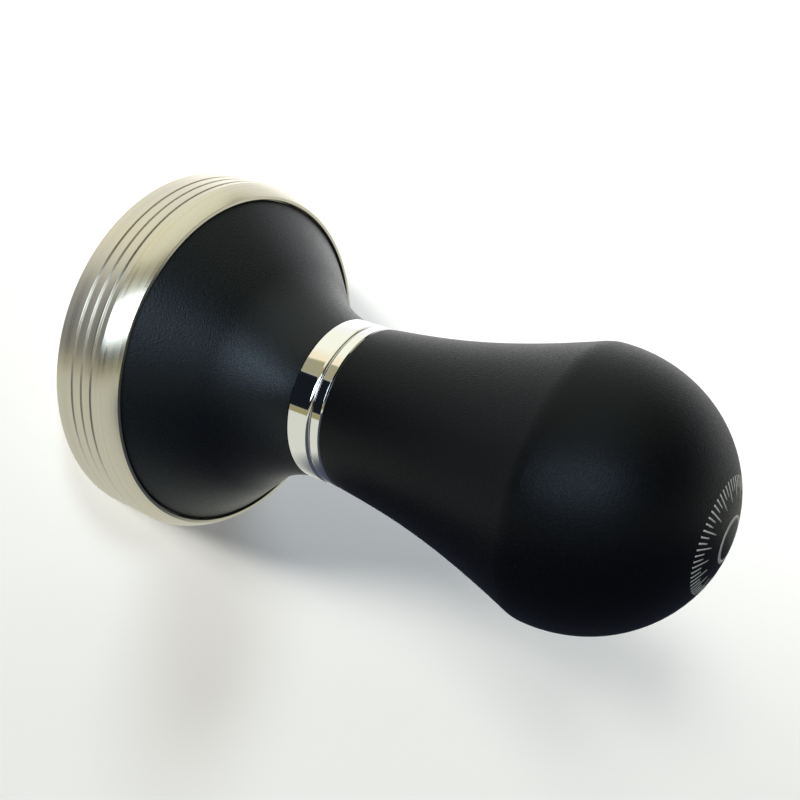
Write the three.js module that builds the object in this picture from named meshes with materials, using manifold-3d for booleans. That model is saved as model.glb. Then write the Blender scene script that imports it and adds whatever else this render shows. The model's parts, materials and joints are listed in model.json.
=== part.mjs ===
// An espresso tamper that stands on its piston: a turned steel piston below, and a black
// two-piece handle with a polished collar, held together by a tie stud, above it.
// Millimetres, +Z up along the axis, origin at the centre of the flat tamping face.

import * as THREE from 'three';
import { mergeVertices } from 'three/addons/utils/BufferGeometryUtils.js';
import Module from 'manifold-3d';

// Piston: the steel disc that presses the coffee
const PISTON_DIAMETER = 58;
const PISTON_HEIGHT = 11.8;
const TAMPING_EDGE_CHAMFER = 0.2;
const GROOVE_COUNT = 3;
const GROOVE_START = 3.55;
const GROOVE_SPACING = 2.04;
const GROOVE_WIDTH = 0.52;
const GROOVE_DEPTH = 0.34;
const SHOULDER_HEIGHT = 3.0;
const SHOULDER_SWELL = 0.15;
const LIP_FLAT = 0.5;
const RECESS_RADIUS = 26.9;
const RECESS_DEPTH = 1.3;

// Flared skirt of the handle
const SKIRT_RUNNING_GAP = 0.2;
const SKIRT_EDGE_BELOW_LIP = 0.1;
const SKIRT_EDGE_BEVEL = 0.3;
const SKIRT_HEIGHT = 20.5;
const SKIRT_NECK_RADIUS = 12.55;
const SKIRT_FLARE_RADIUS = 21;
const SKIRT_NECK_ANGLE = THREE.MathUtils.degToRad(10);

// Collar ring between the skirt and the grip
const COLLAR_RADIUS = 12.6;
const COLLAR_HEIGHT = 6.0;
const COLLAR_EDGE_CHAMFER = 0.2;
const COLLAR_WALL = 3.6;
const COLLAR_BAND_HEIGHT = 3.4;
const COLLAR_COVE_RADIUS = 0.6;
const COLLAR_SLOT_WIDTH = 0.3;
const COLLAR_SLOT_DEPTH = 0.85;

// Grip: a waisted neck that swells to a round knob
const GRIP_NECK_RADIUS = 12.55;
const GRIP_NECK_LENGTH = 34.5;
const GRIP_NECK_SLOPE = 0.107;
const GRIP_NECK_PULL = 8;
const GRIP_KNOB_RADIUS = 19.6;
const GRIP_KNOB_END = 20.2;
const GRIP_SHOULDER_HEIGHT = 11;
const GRIP_SHOULDER_ANGLE = THREE.MathUtils.degToRad(10.5);
const GRIP_SHOULDER_PULL = 16.9;
const GRIP_EDGE_BEVEL = 0.15;

// Spigots of the skirt and the grip that centre the collar ring
const SPIGOT_LENGTH = 2.7;
const SPIGOT_CLEARANCE = 0.1;

// M8 thread that runs from the piston up into the grip
const THREAD_RADIUS = 4.0;
const THREAD_PITCH = 1.25;
const THREAD_DEPTH = 0.72;
const THREAD_CREST_SHARE = 1 / 6;
const THREAD_FLANK_SHARE = 0.28;
const THREAD_RADIAL_CLEARANCE = 0.22;
const THREAD_AXIAL_CLEARANCE = 0.12;
const THREAD_LEAD_CHAMFER = 0.6;
const PISTON_THREAD_TURNS = 6;
const GRIP_THREAD_LENGTH = 12;
const BORE_END_ROOM = 0.5;
const STUD_SHANK_RADIUS = 3.6;
const STUD_HOLE_CLEARANCE = 0.3;

// Fasteners in the counterbore under the skirt
const COUNTERBORE_RADIUS = 8.5;
const NUT_ACROSS_FLATS = 13;
const NUT_HEIGHT = 4;
const NUT_ABOVE_PISTON = 1.5;
const SPRING_WASHER_RADIUS = 7.4;
const SPRING_WASHER_THICKNESS = 2;
const SPRING_WASHER_SLIT = 0.8;
const SPRING_WASHER_SLANT = THREE.MathUtils.degToRad(25);
const PLAIN_WASHER_RADIUS = 8;
const PLAIN_WASHER_THICKNESS = 1.6;

// Rubber ring that grips the piston, in a groove of the skirt's foot
const RING_RADIUS = 22;
const RING_WIDTH = 2;
const RING_HEIGHT = 1.6;
const RING_SIDE_CLEARANCE = 0.2;
const RING_CONTACT_WIDTH = 1;
const RING_CORNER_HEIGHT = 0.45;

// Smoothness of round shapes
const ROUND_SEGMENTS = 48;
const SMALL_ROUND_SEGMENTS = 24;
const THREAD_SEGMENTS = 12;
const FLARE_STEPS = 8;
const SHOULDER_STEPS = 5;
const COVE_STEPS = 3;
const NECK_STEPS = 9;
const KNOB_STEPS = 9;

// How far a cutting shape runs past the face that it opens, and past each end of a thread
const CUT_OVERSHOOT = 1;
const SPARE_THREAD_TURNS = 2;

// Heights of the faces where the pieces meet
const pistonRadius = PISTON_DIAMETER / 2;
const seatHeight = PISTON_HEIGHT - RECESS_DEPTH;
const collarBottom = seatHeight + SKIRT_HEIGHT;
const collarTop = collarBottom + COLLAR_HEIGHT;
const knobHeight = collarTop + GRIP_NECK_LENGTH;
const nutBottom = seatHeight + NUT_ABOVE_PISTON;
const springWasherBottom = nutBottom + NUT_HEIGHT;
const plainWasherBottom = springWasherBottom + SPRING_WASHER_THICKNESS;
const counterboreTop = plainWasherBottom + PLAIN_WASHER_THICKNESS;
const spigotRadius = COLLAR_RADIUS - COLLAR_WALL - SPIGOT_CLEARANCE;
const gripSpigotBottom = collarTop - SPIGOT_LENGTH;
const studBottom = seatHeight - PISTON_THREAD_TURNS * THREAD_PITCH;
const studTop = gripSpigotBottom + GRIP_THREAD_LENGTH;
const studHoleRadius = THREAD_RADIUS + STUD_HOLE_CLEARANCE;

const wasm = await Module();
wasm.setup();

// Solid of a closed mesh, with its shared vertices merged and its flat triangles left out
function solidOf(geometry) {
  const bare = geometry.clone();
  bare.deleteAttribute('normal');
  bare.deleteAttribute('uv');
  const merged = mergeVertices(bare, 1e-5);
  const corners = merged.index.array;
  const triangles = [];
  for (let i = 0; i < corners.length; i += 3) {
    const [a, b, c] = corners.slice(i, i + 3);
    if (a !== b && b !== c && c !== a) triangles.push(a, b, c);
  }
  return new wasm.Manifold(new wasm.Mesh({
    numProp: 3,
    vertProperties: new Float32Array(merged.attributes.position.array),
    triVerts: new Uint32Array(triangles),
  }));
}

// Mesh geometry of a solid
function geometryOf(solid) {
  const mesh = solid.getMesh();
  const geometry = new THREE.BufferGeometry();
  geometry.setAttribute('position', new THREE.BufferAttribute(mesh.vertProperties, 3));
  geometry.setIndex(new THREE.BufferAttribute(mesh.triVerts, 1));
  geometry.computeVertexNormals();
  return geometry;
}

// Turned shape: an outline of [radius, height] points revolved round +Z, listed from the lower
// end of the axis outwards and up, or round a ring's section with the outside going up
function turned(outline, segments = ROUND_SEGMENTS) {
  const points = outline.map(([radius, height]) => new THREE.Vector2(radius, height));
  const onAxis = outline[0][0] === 0;
  if (!onAxis) points.push(points[0].clone());
  return new THREE.LatheGeometry(points, segments).rotateX(Math.PI / 2);
}

// Plain round bar, disc or hole along +Z
function bar(radius, bottom, top, segments = SMALL_ROUND_SEGMENTS) {
  return turned([[0, bottom], [radius, bottom], [radius, top], [0, top]], segments);
}

// Points on a quarter ellipse, from its side at angle 0 to its end at a right angle
function quarterEllipse(centre, halfWidth, halfHeight, steps) {
  const points = [];
  for (let i = 0; i <= steps; i += 1) {
    const angle = (i / steps) * (Math.PI / 2);
    points.push([
      centre[0] + halfWidth * Math.cos(angle),
      centre[1] + halfHeight * Math.sin(angle),
    ]);
  }
  return points;
}

// Right-hand screw thread as one closed helical strip round a core. Every thread here has the
// same phase, so a stud meshes with each hole that is cut by its own enlarged copy.
function threadGeometry(bottom, top, radialGrowth, axialGrowth) {
  const crest = THREAD_RADIUS + radialGrowth;
  const root = crest - THREAD_DEPTH;
  const crestWidth = THREAD_PITCH * THREAD_CREST_SHARE + 2 * axialGrowth;
  const flankWidth = THREAD_PITCH * THREAD_FLANK_SHARE;
  const crestStart = (THREAD_PITCH - crestWidth) / 2;
  const section = [
    [root, crestStart - flankWidth],
    [crest, crestStart],
    [crest, crestStart + crestWidth],
    [root, crestStart + crestWidth + flankWidth],
  ];
  const firstTurn = Math.floor(bottom / THREAD_PITCH) - SPARE_THREAD_TURNS;
  const lastTurn = Math.ceil(top / THREAD_PITCH) + SPARE_THREAD_TURNS;
  const stepCount = (lastTurn - firstTurn) * THREAD_SEGMENTS;
  const positions = [];
  const triangles = [];
  const corner = (step, row) => step * section.length + row;
  for (let step = 0; step <= stepCount; step += 1) {
    const turn = firstTurn + step / THREAD_SEGMENTS;
    const angle = (step / THREAD_SEGMENTS) * 2 * Math.PI;
    for (const [radius, rise] of section) {
      positions.push(radius * Math.cos(angle), radius * Math.sin(angle), turn * THREAD_PITCH + rise);
    }
  }
  const quad = (a, b, c, d) => triangles.push(a, b, c, a, c, d);
  for (let step = 0; step < stepCount; step += 1) {
    for (let row = 0; row < section.length - 1; row += 1) {
      quad(corner(step, row), corner(step + 1, row), corner(step + 1, row + 1), corner(step, row + 1));
    }
    const above = step + THREAD_SEGMENTS;
    if (above + 1 <= stepCount) {
      const last = section.length - 1;
      quad(corner(step, last), corner(step + 1, last), corner(above + 1, 0), corner(above, 0));
    }
  }
  closeThreadEnd(positions, triangles, corner, section.length, 0, false);
  closeThreadEnd(positions, triangles, corner, section.length, stepCount - THREAD_SEGMENTS, true);
  const geometry = new THREE.BufferGeometry();
  geometry.setAttribute('position', new THREE.Float32BufferAttribute(positions, 3));
  geometry.setIndex(triangles);
  return geometry;
}

// Fan from the axis that closes one end of the helical strip
function closeThreadEnd(positions, triangles, corner, rows, firstStep, isTop) {
  const loop = [];
  const row = isTop ? rows - 1 : 0;
  for (let step = 0; step <= THREAD_SEGMENTS; step += 1) loop.push(corner(firstStep + step, row));
  if (isTop) {
    for (let side = rows - 2; side >= 0; side -= 1) loop.push(corner(firstStep + THREAD_SEGMENTS, side));
  } else {
    for (let side = rows - 1; side >= 1; side -= 1) loop.push(corner(firstStep, side));
  }
  const centre = positions.length / 3;
  const endHeight = positions[loop[0] * 3 + 2] + THREAD_PITCH / 2;
  positions.push(0, 0, endHeight);
  loop.forEach((from, i) => {
    const to = loop[(i + 1) % loop.length];
    if (isTop) triangles.push(centre, from, to);
    else triangles.push(centre, to, from);
  });
}

// Threaded bar with flat ends and a chamfer at each end
function threadedBar(bottom, top) {
  const chamfer = THREAD_LEAD_CHAMFER;
  const envelope = turned([
    [0, bottom],
    [THREAD_RADIUS - chamfer, bottom],
    [THREAD_RADIUS + chamfer, bottom + 2 * chamfer],
    [THREAD_RADIUS + chamfer, top - 2 * chamfer],
    [THREAD_RADIUS - chamfer, top],
    [0, top],
  ], SMALL_ROUND_SEGMENTS);
  return solidOf(threadGeometry(bottom, top, 0, 0)).intersect(solidOf(envelope));
}

// What a tap removes from a hole between two heights
function tappedHole(bottom, top) {
  const thread = threadGeometry(bottom, top, THREAD_RADIAL_CLEARANCE, THREAD_AXIAL_CLEARANCE);
  const reach = 2 * THREAD_RADIUS;
  return solidOf(thread).intersect(solidOf(bar(reach, bottom, top)));
}

// Countersink at the mouth of a tapped hole, which opens up or down
function countersink(mouth, opensUp) {
  const wide = THREAD_RADIUS + THREAD_LEAD_CHAMFER;
  const narrow = THREAD_RADIUS - THREAD_DEPTH;
  const depth = wide - narrow;
  const outline = opensUp ? [
    [0, mouth - depth],
    [narrow, mouth - depth],
    [wide, mouth],
    [wide, mouth + CUT_OVERSHOOT],
    [0, mouth + CUT_OVERSHOOT],
  ] : [
    [0, mouth - CUT_OVERSHOOT],
    [wide, mouth - CUT_OVERSHOOT],
    [wide, mouth],
    [narrow, mouth + depth],
    [0, mouth + depth],
  ];
  return solidOf(turned(outline, SMALL_ROUND_SEGMENTS));
}

// Steel piston with its sight grooves, rounded shoulder, recess for the skirt and tapped hole
function pistonGeometry() {
  const outline = [
    [0, 0],
    [pistonRadius - TAMPING_EDGE_CHAMFER, 0],
    [pistonRadius, TAMPING_EDGE_CHAMFER],
  ];
  for (let i = 0; i < GROOVE_COUNT; i += 1) {
    const height = GROOVE_START + i * GROOVE_SPACING;
    outline.push([pistonRadius, height - GROOVE_WIDTH / 2]);
    outline.push([pistonRadius - GROOVE_DEPTH, height]);
    outline.push([pistonRadius, height + GROOVE_WIDTH / 2]);
  }
  outline.push(...shoulderOutline());
  outline.push([RECESS_RADIUS, PISTON_HEIGHT]);
  outline.push([RECESS_RADIUS, seatHeight]);
  outline.push([0, seatHeight]);
  const holeBottom = studBottom - BORE_END_ROOM;
  return geometryOf(solidOf(turned(outline))
    .subtract(tappedHole(holeBottom, seatHeight + CUT_OVERSHOOT))
    .subtract(countersink(seatHeight, true)));
}

// Rounded shoulder: a straight slope from the wall to the lip that swells outwards midway
function shoulderOutline() {
  const from = new THREE.Vector2(pistonRadius, PISTON_HEIGHT - SHOULDER_HEIGHT);
  const to = new THREE.Vector2(RECESS_RADIUS + LIP_FLAT, PISTON_HEIGHT);
  const slope = to.clone().sub(from);
  const outwards = new THREE.Vector2(slope.y, -slope.x).normalize();
  const points = [];
  for (let i = 0; i <= SHOULDER_STEPS; i += 1) {
    const t = i / SHOULDER_STEPS;
    const swell = SHOULDER_SWELL * 4 * t * (1 - t);
    const point = from.clone().addScaledVector(slope, t).addScaledVector(outwards, swell);
    points.push([Math.min(point.x, pistonRadius), point.y]);
  }
  return points;
}

// Concave flare of the skirt, from its foot edge up to its neck: a cone that turns into an arc
function flareOutline(footEdge) {
  const centre = [
    SKIRT_NECK_RADIUS + SKIRT_FLARE_RADIUS * Math.cos(SKIRT_NECK_ANGLE),
    collarBottom + SKIRT_FLARE_RADIUS * Math.sin(SKIRT_NECK_ANGLE),
  ];
  const across = centre[0] - footEdge[0];
  const up = centre[1] - footEdge[1];
  const toFoot = Math.atan2(up, across);
  const tangentAngle = toFoot - Math.acos(SKIRT_FLARE_RADIUS / Math.hypot(across, up));
  const points = [footEdge];
  for (let i = 0; i <= FLARE_STEPS; i += 1) {
    const angle = tangentAngle + (SKIRT_NECK_ANGLE - tangentAngle) * (i / FLARE_STEPS);
    points.push([
      centre[0] - SKIRT_FLARE_RADIUS * Math.cos(angle),
      centre[1] - SKIRT_FLARE_RADIUS * Math.sin(angle),
    ]);
  }
  return points;
}

// Black flared skirt: counterbore and ring groove below, a spigot for the collar on top
function skirtGeometry() {
  const footRadius = RECESS_RADIUS - SKIRT_RUNNING_GAP;
  const edgeHeight = PISTON_HEIGHT - SKIRT_EDGE_BELOW_LIP;
  const spigotTop = collarBottom + SPIGOT_LENGTH;
  const grooveHalf = RING_WIDTH / 2 + RING_SIDE_CLEARANCE;
  return turned([
    [studHoleRadius, counterboreTop],
    [COUNTERBORE_RADIUS, counterboreTop],
    [COUNTERBORE_RADIUS, seatHeight],
    [RING_RADIUS - grooveHalf, seatHeight],
    [RING_RADIUS - grooveHalf, seatHeight + RING_HEIGHT],
    [RING_RADIUS + grooveHalf, seatHeight + RING_HEIGHT],
    [RING_RADIUS + grooveHalf, seatHeight],
    [footRadius, seatHeight],
    [footRadius, edgeHeight - SKIRT_EDGE_BEVEL],
    ...flareOutline([footRadius - SKIRT_EDGE_BEVEL, edgeHeight]),
    [spigotRadius, collarBottom],
    [spigotRadius, spigotTop],
    [studHoleRadius, spigotTop],
  ]);
}

// Polished collar: a wide band, a cove that runs into a fine slot, and a narrow band
function collarGeometry() {
  const inner = COLLAR_RADIUS - COLLAR_WALL;
  const bandTop = collarBottom + COLLAR_BAND_HEIGHT;
  const coveTop = bandTop + COLLAR_COVE_RADIUS;
  const slotTop = coveTop + COLLAR_SLOT_WIDTH;
  const slotFloor = COLLAR_RADIUS - COLLAR_SLOT_DEPTH;
  const coveCentre = [COLLAR_RADIUS - COLLAR_COVE_RADIUS, bandTop];
  return turned([
    [inner, collarBottom],
    [COLLAR_RADIUS - COLLAR_EDGE_CHAMFER, collarBottom],
    [COLLAR_RADIUS, collarBottom + COLLAR_EDGE_CHAMFER],
    ...quarterEllipse(coveCentre, COLLAR_COVE_RADIUS, COLLAR_COVE_RADIUS, COVE_STEPS),
    [slotFloor, coveTop],
    [slotFloor, slotTop],
    [COLLAR_RADIUS - COLLAR_EDGE_CHAMFER / 2, slotTop],
    [COLLAR_RADIUS, slotTop + COLLAR_EDGE_CHAMFER / 2],
    [COLLAR_RADIUS, collarTop - COLLAR_EDGE_CHAMFER],
    [COLLAR_RADIUS - COLLAR_EDGE_CHAMFER, collarTop],
    [inner, collarTop],
  ]);
}

// Side of the grip: a curve out from the neck, a tight round shoulder up to the knob's widest
// place, then the knob's large round end
function gripOutline() {
  const neck = new THREE.Vector2(GRIP_NECK_RADIUS, collarTop);
  const shoulder = new THREE.Vector2(
    GRIP_KNOB_RADIUS * Math.cos(GRIP_SHOULDER_ANGLE),
    knobHeight - GRIP_SHOULDER_HEIGHT * Math.sin(GRIP_SHOULDER_ANGLE),
  );
  const alongShoulder = new THREE.Vector2(
    GRIP_KNOB_RADIUS * Math.sin(GRIP_SHOULDER_ANGLE),
    GRIP_SHOULDER_HEIGHT * Math.cos(GRIP_SHOULDER_ANGLE),
  ).normalize();
  const side = new THREE.CubicBezierCurve(
    neck,
    new THREE.Vector2(neck.x + GRIP_NECK_SLOPE * GRIP_NECK_PULL, neck.y + GRIP_NECK_PULL),
    shoulder.clone().addScaledVector(alongShoulder, -GRIP_SHOULDER_PULL),
    shoulder,
  );
  const points = side.getSpacedPoints(NECK_STEPS).map((point) => [point.x, point.y]);
  points[0] = [GRIP_NECK_RADIUS - GRIP_EDGE_BEVEL, collarTop];
  points.splice(1, 0, [GRIP_NECK_RADIUS, collarTop + GRIP_EDGE_BEVEL]);
  const end = quarterEllipse([0, knobHeight], GRIP_KNOB_RADIUS, GRIP_KNOB_END, KNOB_STEPS);
  end[end.length - 1] = [0, knobHeight + GRIP_KNOB_END];
  return [...points, ...end];
}

// Black grip with a spigot for the collar below and a tapped hole for the stud
function gripGeometry() {
  const outline = [
    [0, gripSpigotBottom],
    [spigotRadius, gripSpigotBottom],
    [spigotRadius, collarTop],
    ...gripOutline(),
  ];
  return geometryOf(solidOf(turned(outline))
    .subtract(tappedHole(gripSpigotBottom - CUT_OVERSHOOT, studTop + BORE_END_ROOM))
    .subtract(countersink(gripSpigotBottom, false)));
}

// Tie stud: a thread at each end and a plain shank where it passes the web and the collar
function studGeometry() {
  const shankBottom = plainWasherBottom;
  const shankTop = gripSpigotBottom;
  const overlap = 2 * THREAD_LEAD_CHAMFER;
  return geometryOf(threadedBar(studBottom, shankBottom + overlap)
    .add(threadedBar(shankTop - overlap, studTop))
    .add(solidOf(bar(STUD_SHANK_RADIUS, shankBottom, shankTop))));
}

// Thin hexagon nut with its corners chamfered on both faces
function nutGeometry() {
  const cornerRadius = NUT_ACROSS_FLATS / Math.sqrt(3);
  const chamferRise = (cornerRadius - NUT_ACROSS_FLATS / 2) * Math.tan(Math.PI / 6);
  const hexagon = new THREE.Shape();
  for (let i = 0; i < 6; i += 1) {
    const angle = (i * Math.PI) / 3;
    const x = cornerRadius * Math.cos(angle);
    const y = cornerRadius * Math.sin(angle);
    if (i === 0) hexagon.moveTo(x, y);
    else hexagon.lineTo(x, y);
  }
  hexagon.closePath();
  const block = new THREE.ExtrudeGeometry(hexagon, { depth: NUT_HEIGHT, bevelEnabled: false });
  block.translate(0, 0, nutBottom);
  const rounded = turned([
    [0, nutBottom],
    [NUT_ACROSS_FLATS / 2, nutBottom],
    [cornerRadius, nutBottom + chamferRise],
    [cornerRadius, springWasherBottom - chamferRise],
    [NUT_ACROSS_FLATS / 2, springWasherBottom],
    [0, springWasherBottom],
  ], SMALL_ROUND_SEGMENTS);
  return geometryOf(solidOf(block)
    .intersect(solidOf(rounded))
    .subtract(tappedHole(nutBottom - CUT_OVERSHOOT, springWasherBottom + CUT_OVERSHOOT)));
}

// Flat ring between two heights
function flatRing(inner, outer, bottom, top) {
  return turned([[inner, bottom], [outer, bottom], [outer, top], [inner, top]], SMALL_ROUND_SEGMENTS);
}

// Spring washer, pressed flat, with a slanted slit through one side
function springWasherGeometry() {
  const ring = flatRing(studHoleRadius, SPRING_WASHER_RADIUS, springWasherBottom, plainWasherBottom);
  const slit = new THREE.BoxGeometry(
    2 * SPRING_WASHER_RADIUS,
    SPRING_WASHER_SLIT,
    3 * SPRING_WASHER_THICKNESS,
  );
  slit.rotateX(SPRING_WASHER_SLANT);
  slit.translate(SPRING_WASHER_RADIUS, 0, springWasherBottom + SPRING_WASHER_THICKNESS / 2);
  return geometryOf(solidOf(ring).subtract(solidOf(slit)));
}

// Plain washer under the web of the skirt
function plainWasherGeometry() {
  return flatRing(studHoleRadius, PLAIN_WASHER_RADIUS, plainWasherBottom, counterboreTop);
}

// Rubber ring, squeezed flat where it meets the piston and the bottom of its groove
function frictionRingGeometry() {
  const half = RING_WIDTH / 2;
  const flat = RING_CONTACT_WIDTH / 2;
  const top = seatHeight + RING_HEIGHT;
  return turned([
    [RING_RADIUS - flat, seatHeight],
    [RING_RADIUS + flat, seatHeight],
    [RING_RADIUS + half, seatHeight + RING_CORNER_HEIGHT],
    [RING_RADIUS + half, top - RING_CORNER_HEIGHT],
    [RING_RADIUS + flat, top],
    [RING_RADIUS - flat, top],
    [RING_RADIUS - half, top - RING_CORNER_HEIGHT],
    [RING_RADIUS - half, seatHeight + RING_CORNER_HEIGHT],
  ]);
}

const turnedSteel = new THREE.MeshStandardMaterial({ color: 0xb9b5a6, roughness: 0.32, metalness: 1 });
const polishedChrome = new THREE.MeshStandardMaterial({ color: 0xd8d9d6, roughness: 0.06, metalness: 1 });
const blackAnodised = new THREE.MeshStandardMaterial({ color: 0x101113, roughness: 0.5, metalness: 0.3 });
const zincSteel = new THREE.MeshStandardMaterial({ color: 0x9fa3a6, roughness: 0.38, metalness: 1 });
const springSteel = new THREE.MeshStandardMaterial({ color: 0x55575a, roughness: 0.45, metalness: 1 });
const blackRubber = new THREE.MeshStandardMaterial({ color: 0x161616, roughness: 0.8, metalness: 0 });

function piece(name, geometry, material) {
  const mesh = new THREE.Mesh(geometry, material);
  mesh.name = name;
  return mesh;
}

const piston = new THREE.Group();
piston.add(piece('piston_base', pistonGeometry(), turnedSteel));

const seal = new THREE.Group();
seal.add(piece('friction_ring', frictionRingGeometry(), blackRubber));

const handle = new THREE.Group();
handle.add(piece('flare_skirt', skirtGeometry(), blackAnodised));
handle.add(piece('collar_ring', collarGeometry(), polishedChrome));
handle.add(piece('handle_grip', gripGeometry(), blackAnodised));
handle.add(piece('tie_stud', studGeometry(), zincSteel));
handle.add(piece('clamp_nut', nutGeometry(), zincSteel));
handle.add(piece('spring_washer', springWasherGeometry(), springSteel));
handle.add(piece('plain_washer', plainWasherGeometry(), zincSteel));

const tamper = new THREE.Group();
tamper.add(piston, seal, handle);

export default tamper;
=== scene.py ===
# Looks of the espresso tamper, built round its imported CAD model.
# Metres, +Z up along the turning axis, origin at the centre of the tamping face.

import json
import math

import bmesh
import bpy
from mathutils import Matrix, Vector

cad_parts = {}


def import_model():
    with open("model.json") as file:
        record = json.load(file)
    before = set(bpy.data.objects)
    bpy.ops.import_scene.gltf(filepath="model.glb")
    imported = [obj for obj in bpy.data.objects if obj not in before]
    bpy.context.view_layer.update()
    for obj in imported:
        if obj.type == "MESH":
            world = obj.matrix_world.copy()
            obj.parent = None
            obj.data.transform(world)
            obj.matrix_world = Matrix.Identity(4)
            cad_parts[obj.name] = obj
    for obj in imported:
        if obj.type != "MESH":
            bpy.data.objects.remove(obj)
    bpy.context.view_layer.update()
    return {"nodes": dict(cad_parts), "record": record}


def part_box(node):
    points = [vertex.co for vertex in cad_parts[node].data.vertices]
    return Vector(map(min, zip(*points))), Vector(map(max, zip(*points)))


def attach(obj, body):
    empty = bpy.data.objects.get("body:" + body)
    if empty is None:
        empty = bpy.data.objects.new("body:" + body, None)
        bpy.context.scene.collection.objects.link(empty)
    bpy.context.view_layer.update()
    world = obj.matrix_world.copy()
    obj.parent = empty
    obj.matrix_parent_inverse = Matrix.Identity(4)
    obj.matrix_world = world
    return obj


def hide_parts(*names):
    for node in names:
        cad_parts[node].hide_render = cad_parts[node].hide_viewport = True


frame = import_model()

MM = 0.001

# The photograph's camera, fitted to the circles and the outline of the tamper
CAMERA_POSITION = Vector((0, -128.83, 115.71)) * MM
CAMERA_AIM = Vector((6.40, 0, 36.23)) * MM
CAMERA_ROLL = math.radians(111.35)
CAMERA_SHIFT = (0.059, 0.061)
CAMERA_LENS = 45.0
CAMERA_SENSOR = 36.0
CAMERA_NEAREST = 5 * MM
CAMERA_FARTHEST = 100

# Piston details
TAMPING_EDGE = 0.2 * MM
GROOVE_START = 3.55 * MM
GROOVE_SPACING = 2.04 * MM
GROOVE_COUNT = 3
GROOVE_WIDTH = 0.52 * MM
GROOVE_DEPTH = 0.34 * MM
GROOVE_LOWER_ROUNDING = 0.14 * MM
GROOVE_UPPER_ROUNDING = 0.06 * MM
SHOULDER_HEIGHT = 3.0 * MM
SHOULDER_SWELL = 0.15 * MM
LIP_WIDTH = 0.5 * MM
SKIRT_GAP = 0.2 * MM

# Skirt details
NECK_RADIUS = 12.55 * MM
FLARE_RADIUS = 21 * MM
NECK_ANGLE = math.radians(10)
SKIRT_EDGE_BELOW_LIP = 0.1 * MM
SKIRT_EDGE_BEVEL = 0.3 * MM
SKIRT_EDGE_ROUNDING = 0.25 * MM

# Collar details
COLLAR_BAND = 3.4 * MM
COLLAR_COVE = 0.6 * MM
COLLAR_SLOT_WIDTH = 0.3 * MM
COLLAR_SLOT_DEPTH = 0.85 * MM
COLLAR_CHAMFER = 0.2 * MM
COLLAR_EDGE_ROUNDING = 0.06 * MM

# Grip details
GRIP_NECK_RADIUS = 12.55 * MM
GRIP_NECK_SLOPE = 0.107
GRIP_NECK_PULL = 8 * MM
KNOB_END = 20.2 * MM
KNOB_SHOULDER_HEIGHT = 11 * MM
KNOB_SHOULDER_ANGLE = math.radians(10.5)
KNOB_SHOULDER_PULL = 16.9 * MM
GRIP_EDGE_BEVEL = 0.15 * MM

# Inner details
COLLAR_WALL = 3.6 * MM
SPIGOT_CLEARANCE = 0.1 * MM
COUNTERBORE_RADIUS = 8.5 * MM
STUD_HOLE_RADIUS = 4.3 * MM
STUD_BORE_RADIUS = 4.1 * MM
STUD_END_ROOM = 0.5 * MM
BORE_COUNTERSINK = 0.5 * MM
RING_WIDTH = 2 * MM
RING_SIDE_CLEARANCE = 0.2 * MM

# Etched mark on the knob's end: a ring of radial ticks round a plain small ring
MARK_TICKS = 60
MARK_TICKS_PER_LONG_ONE = 3
MARK_TICK_WIDTH = 0.24 * MM
MARK_TICK_OUTER = 7.9 * MM
MARK_TICK_LONG = 2.6 * MM
MARK_TICK_SHORT = 1.5 * MM
MARK_RING_OUTER = 3.2 * MM
MARK_RING_WIDTH = 0.55 * MM
MARK_PROUD = 0.02 * MM
MARK_SUNK = 0.02 * MM

# Faces of a tick and of the small ring, outwards and round
MARK_TICK_FACES = (4, 1)
MARK_RING_FACES = (1, 96)
MARK_MERGE_DISTANCE = 0.0005 * MM

# Smoothness of the turned surfaces
ROUND_SEGMENTS = 256
SHOULDER_STEPS = 48
FLARE_STEPS = 48
COVE_STEPS = 16
NECK_STEPS = 96
KNOB_SHOULDER_STEPS = 12
KNOB_STEPS = 96
FILLET_STEPS = 6
SOFT_EDGE = 0.1 * MM
FINE_EDGE = 0.05 * MM

# The most of a side that one fillet takes, and how near to each end a long flat gets a point
FILLET_SHARE = 0.45
FLAT_MARGIN = 0.04 * MM
LONG_FLAT = 4 * FLAT_MARGIN

# Where most values of a noise texture lie
NOISE_LOW = 0.3
NOISE_HIGH = 0.7

# Finishes: the scale of a texture is in features per metre, a bump is its strength and its depth
STEEL_DARK = (0.50, 0.475, 0.39)
STEEL_LIGHT = (0.92, 0.88, 0.75)
STEEL_FINE_LINES = 4000
STEEL_BROAD_LINES = 1500
STEEL_FINE_SHARE = 0.55
STEEL_BROAD_SHARE = 0.45
STEEL_ROUGHNESS = (0.24, 0.41)
STEEL_SHOULDER_SMOOTHER = 0.03
STEEL_SHOULDER_BLEND = 0.3 * MM
STEEL_DRAWN_OUT = 0.6
STEEL_QUARTER_TURN = 0.25
STEEL_BUMP = (0.6, 0.008 * MM)

BLACK_DARK = (0.0002, 0.0002, 0.0003)
BLACK_LIGHT = (0.0030, 0.0029, 0.0040)
BLACK_SHEEN = (0.75, 0.88, 1.0)
BLACK_GRAIN = 3800
BLACK_GRAIN_ROUGHNESS = 0.08
BLACK_CLOUD = 60
BLACK_BUMP = (1.0, 0.05 * MM)
SKIRT_ROUGHNESS = (0.36, 0.40)
SKIRT_SPECULAR = 0.43
GRIP_ROUGHNESS = (0.40, 0.44)
GRIP_SPECULAR = 0.20

CHROME_COLOUR = (0.93, 0.93, 0.91)
CHROME_LINES = 5000
CHROME_ROUGHNESS = (0.03, 0.07)
CHROME_BUMP = (0.04, 0.001 * MM)

ETCHED_DARK = (0.54, 0.54, 0.49)
ETCHED_LIGHT = (0.72, 0.72, 0.66)
ETCHED_METALLIC = 0.3
ETCHED_GRAIN = 9000
ETCHED_ROUGHNESS = (0.45, 0.6)
ETCHED_BUMP = (0.3, 0.004 * MM)

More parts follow.
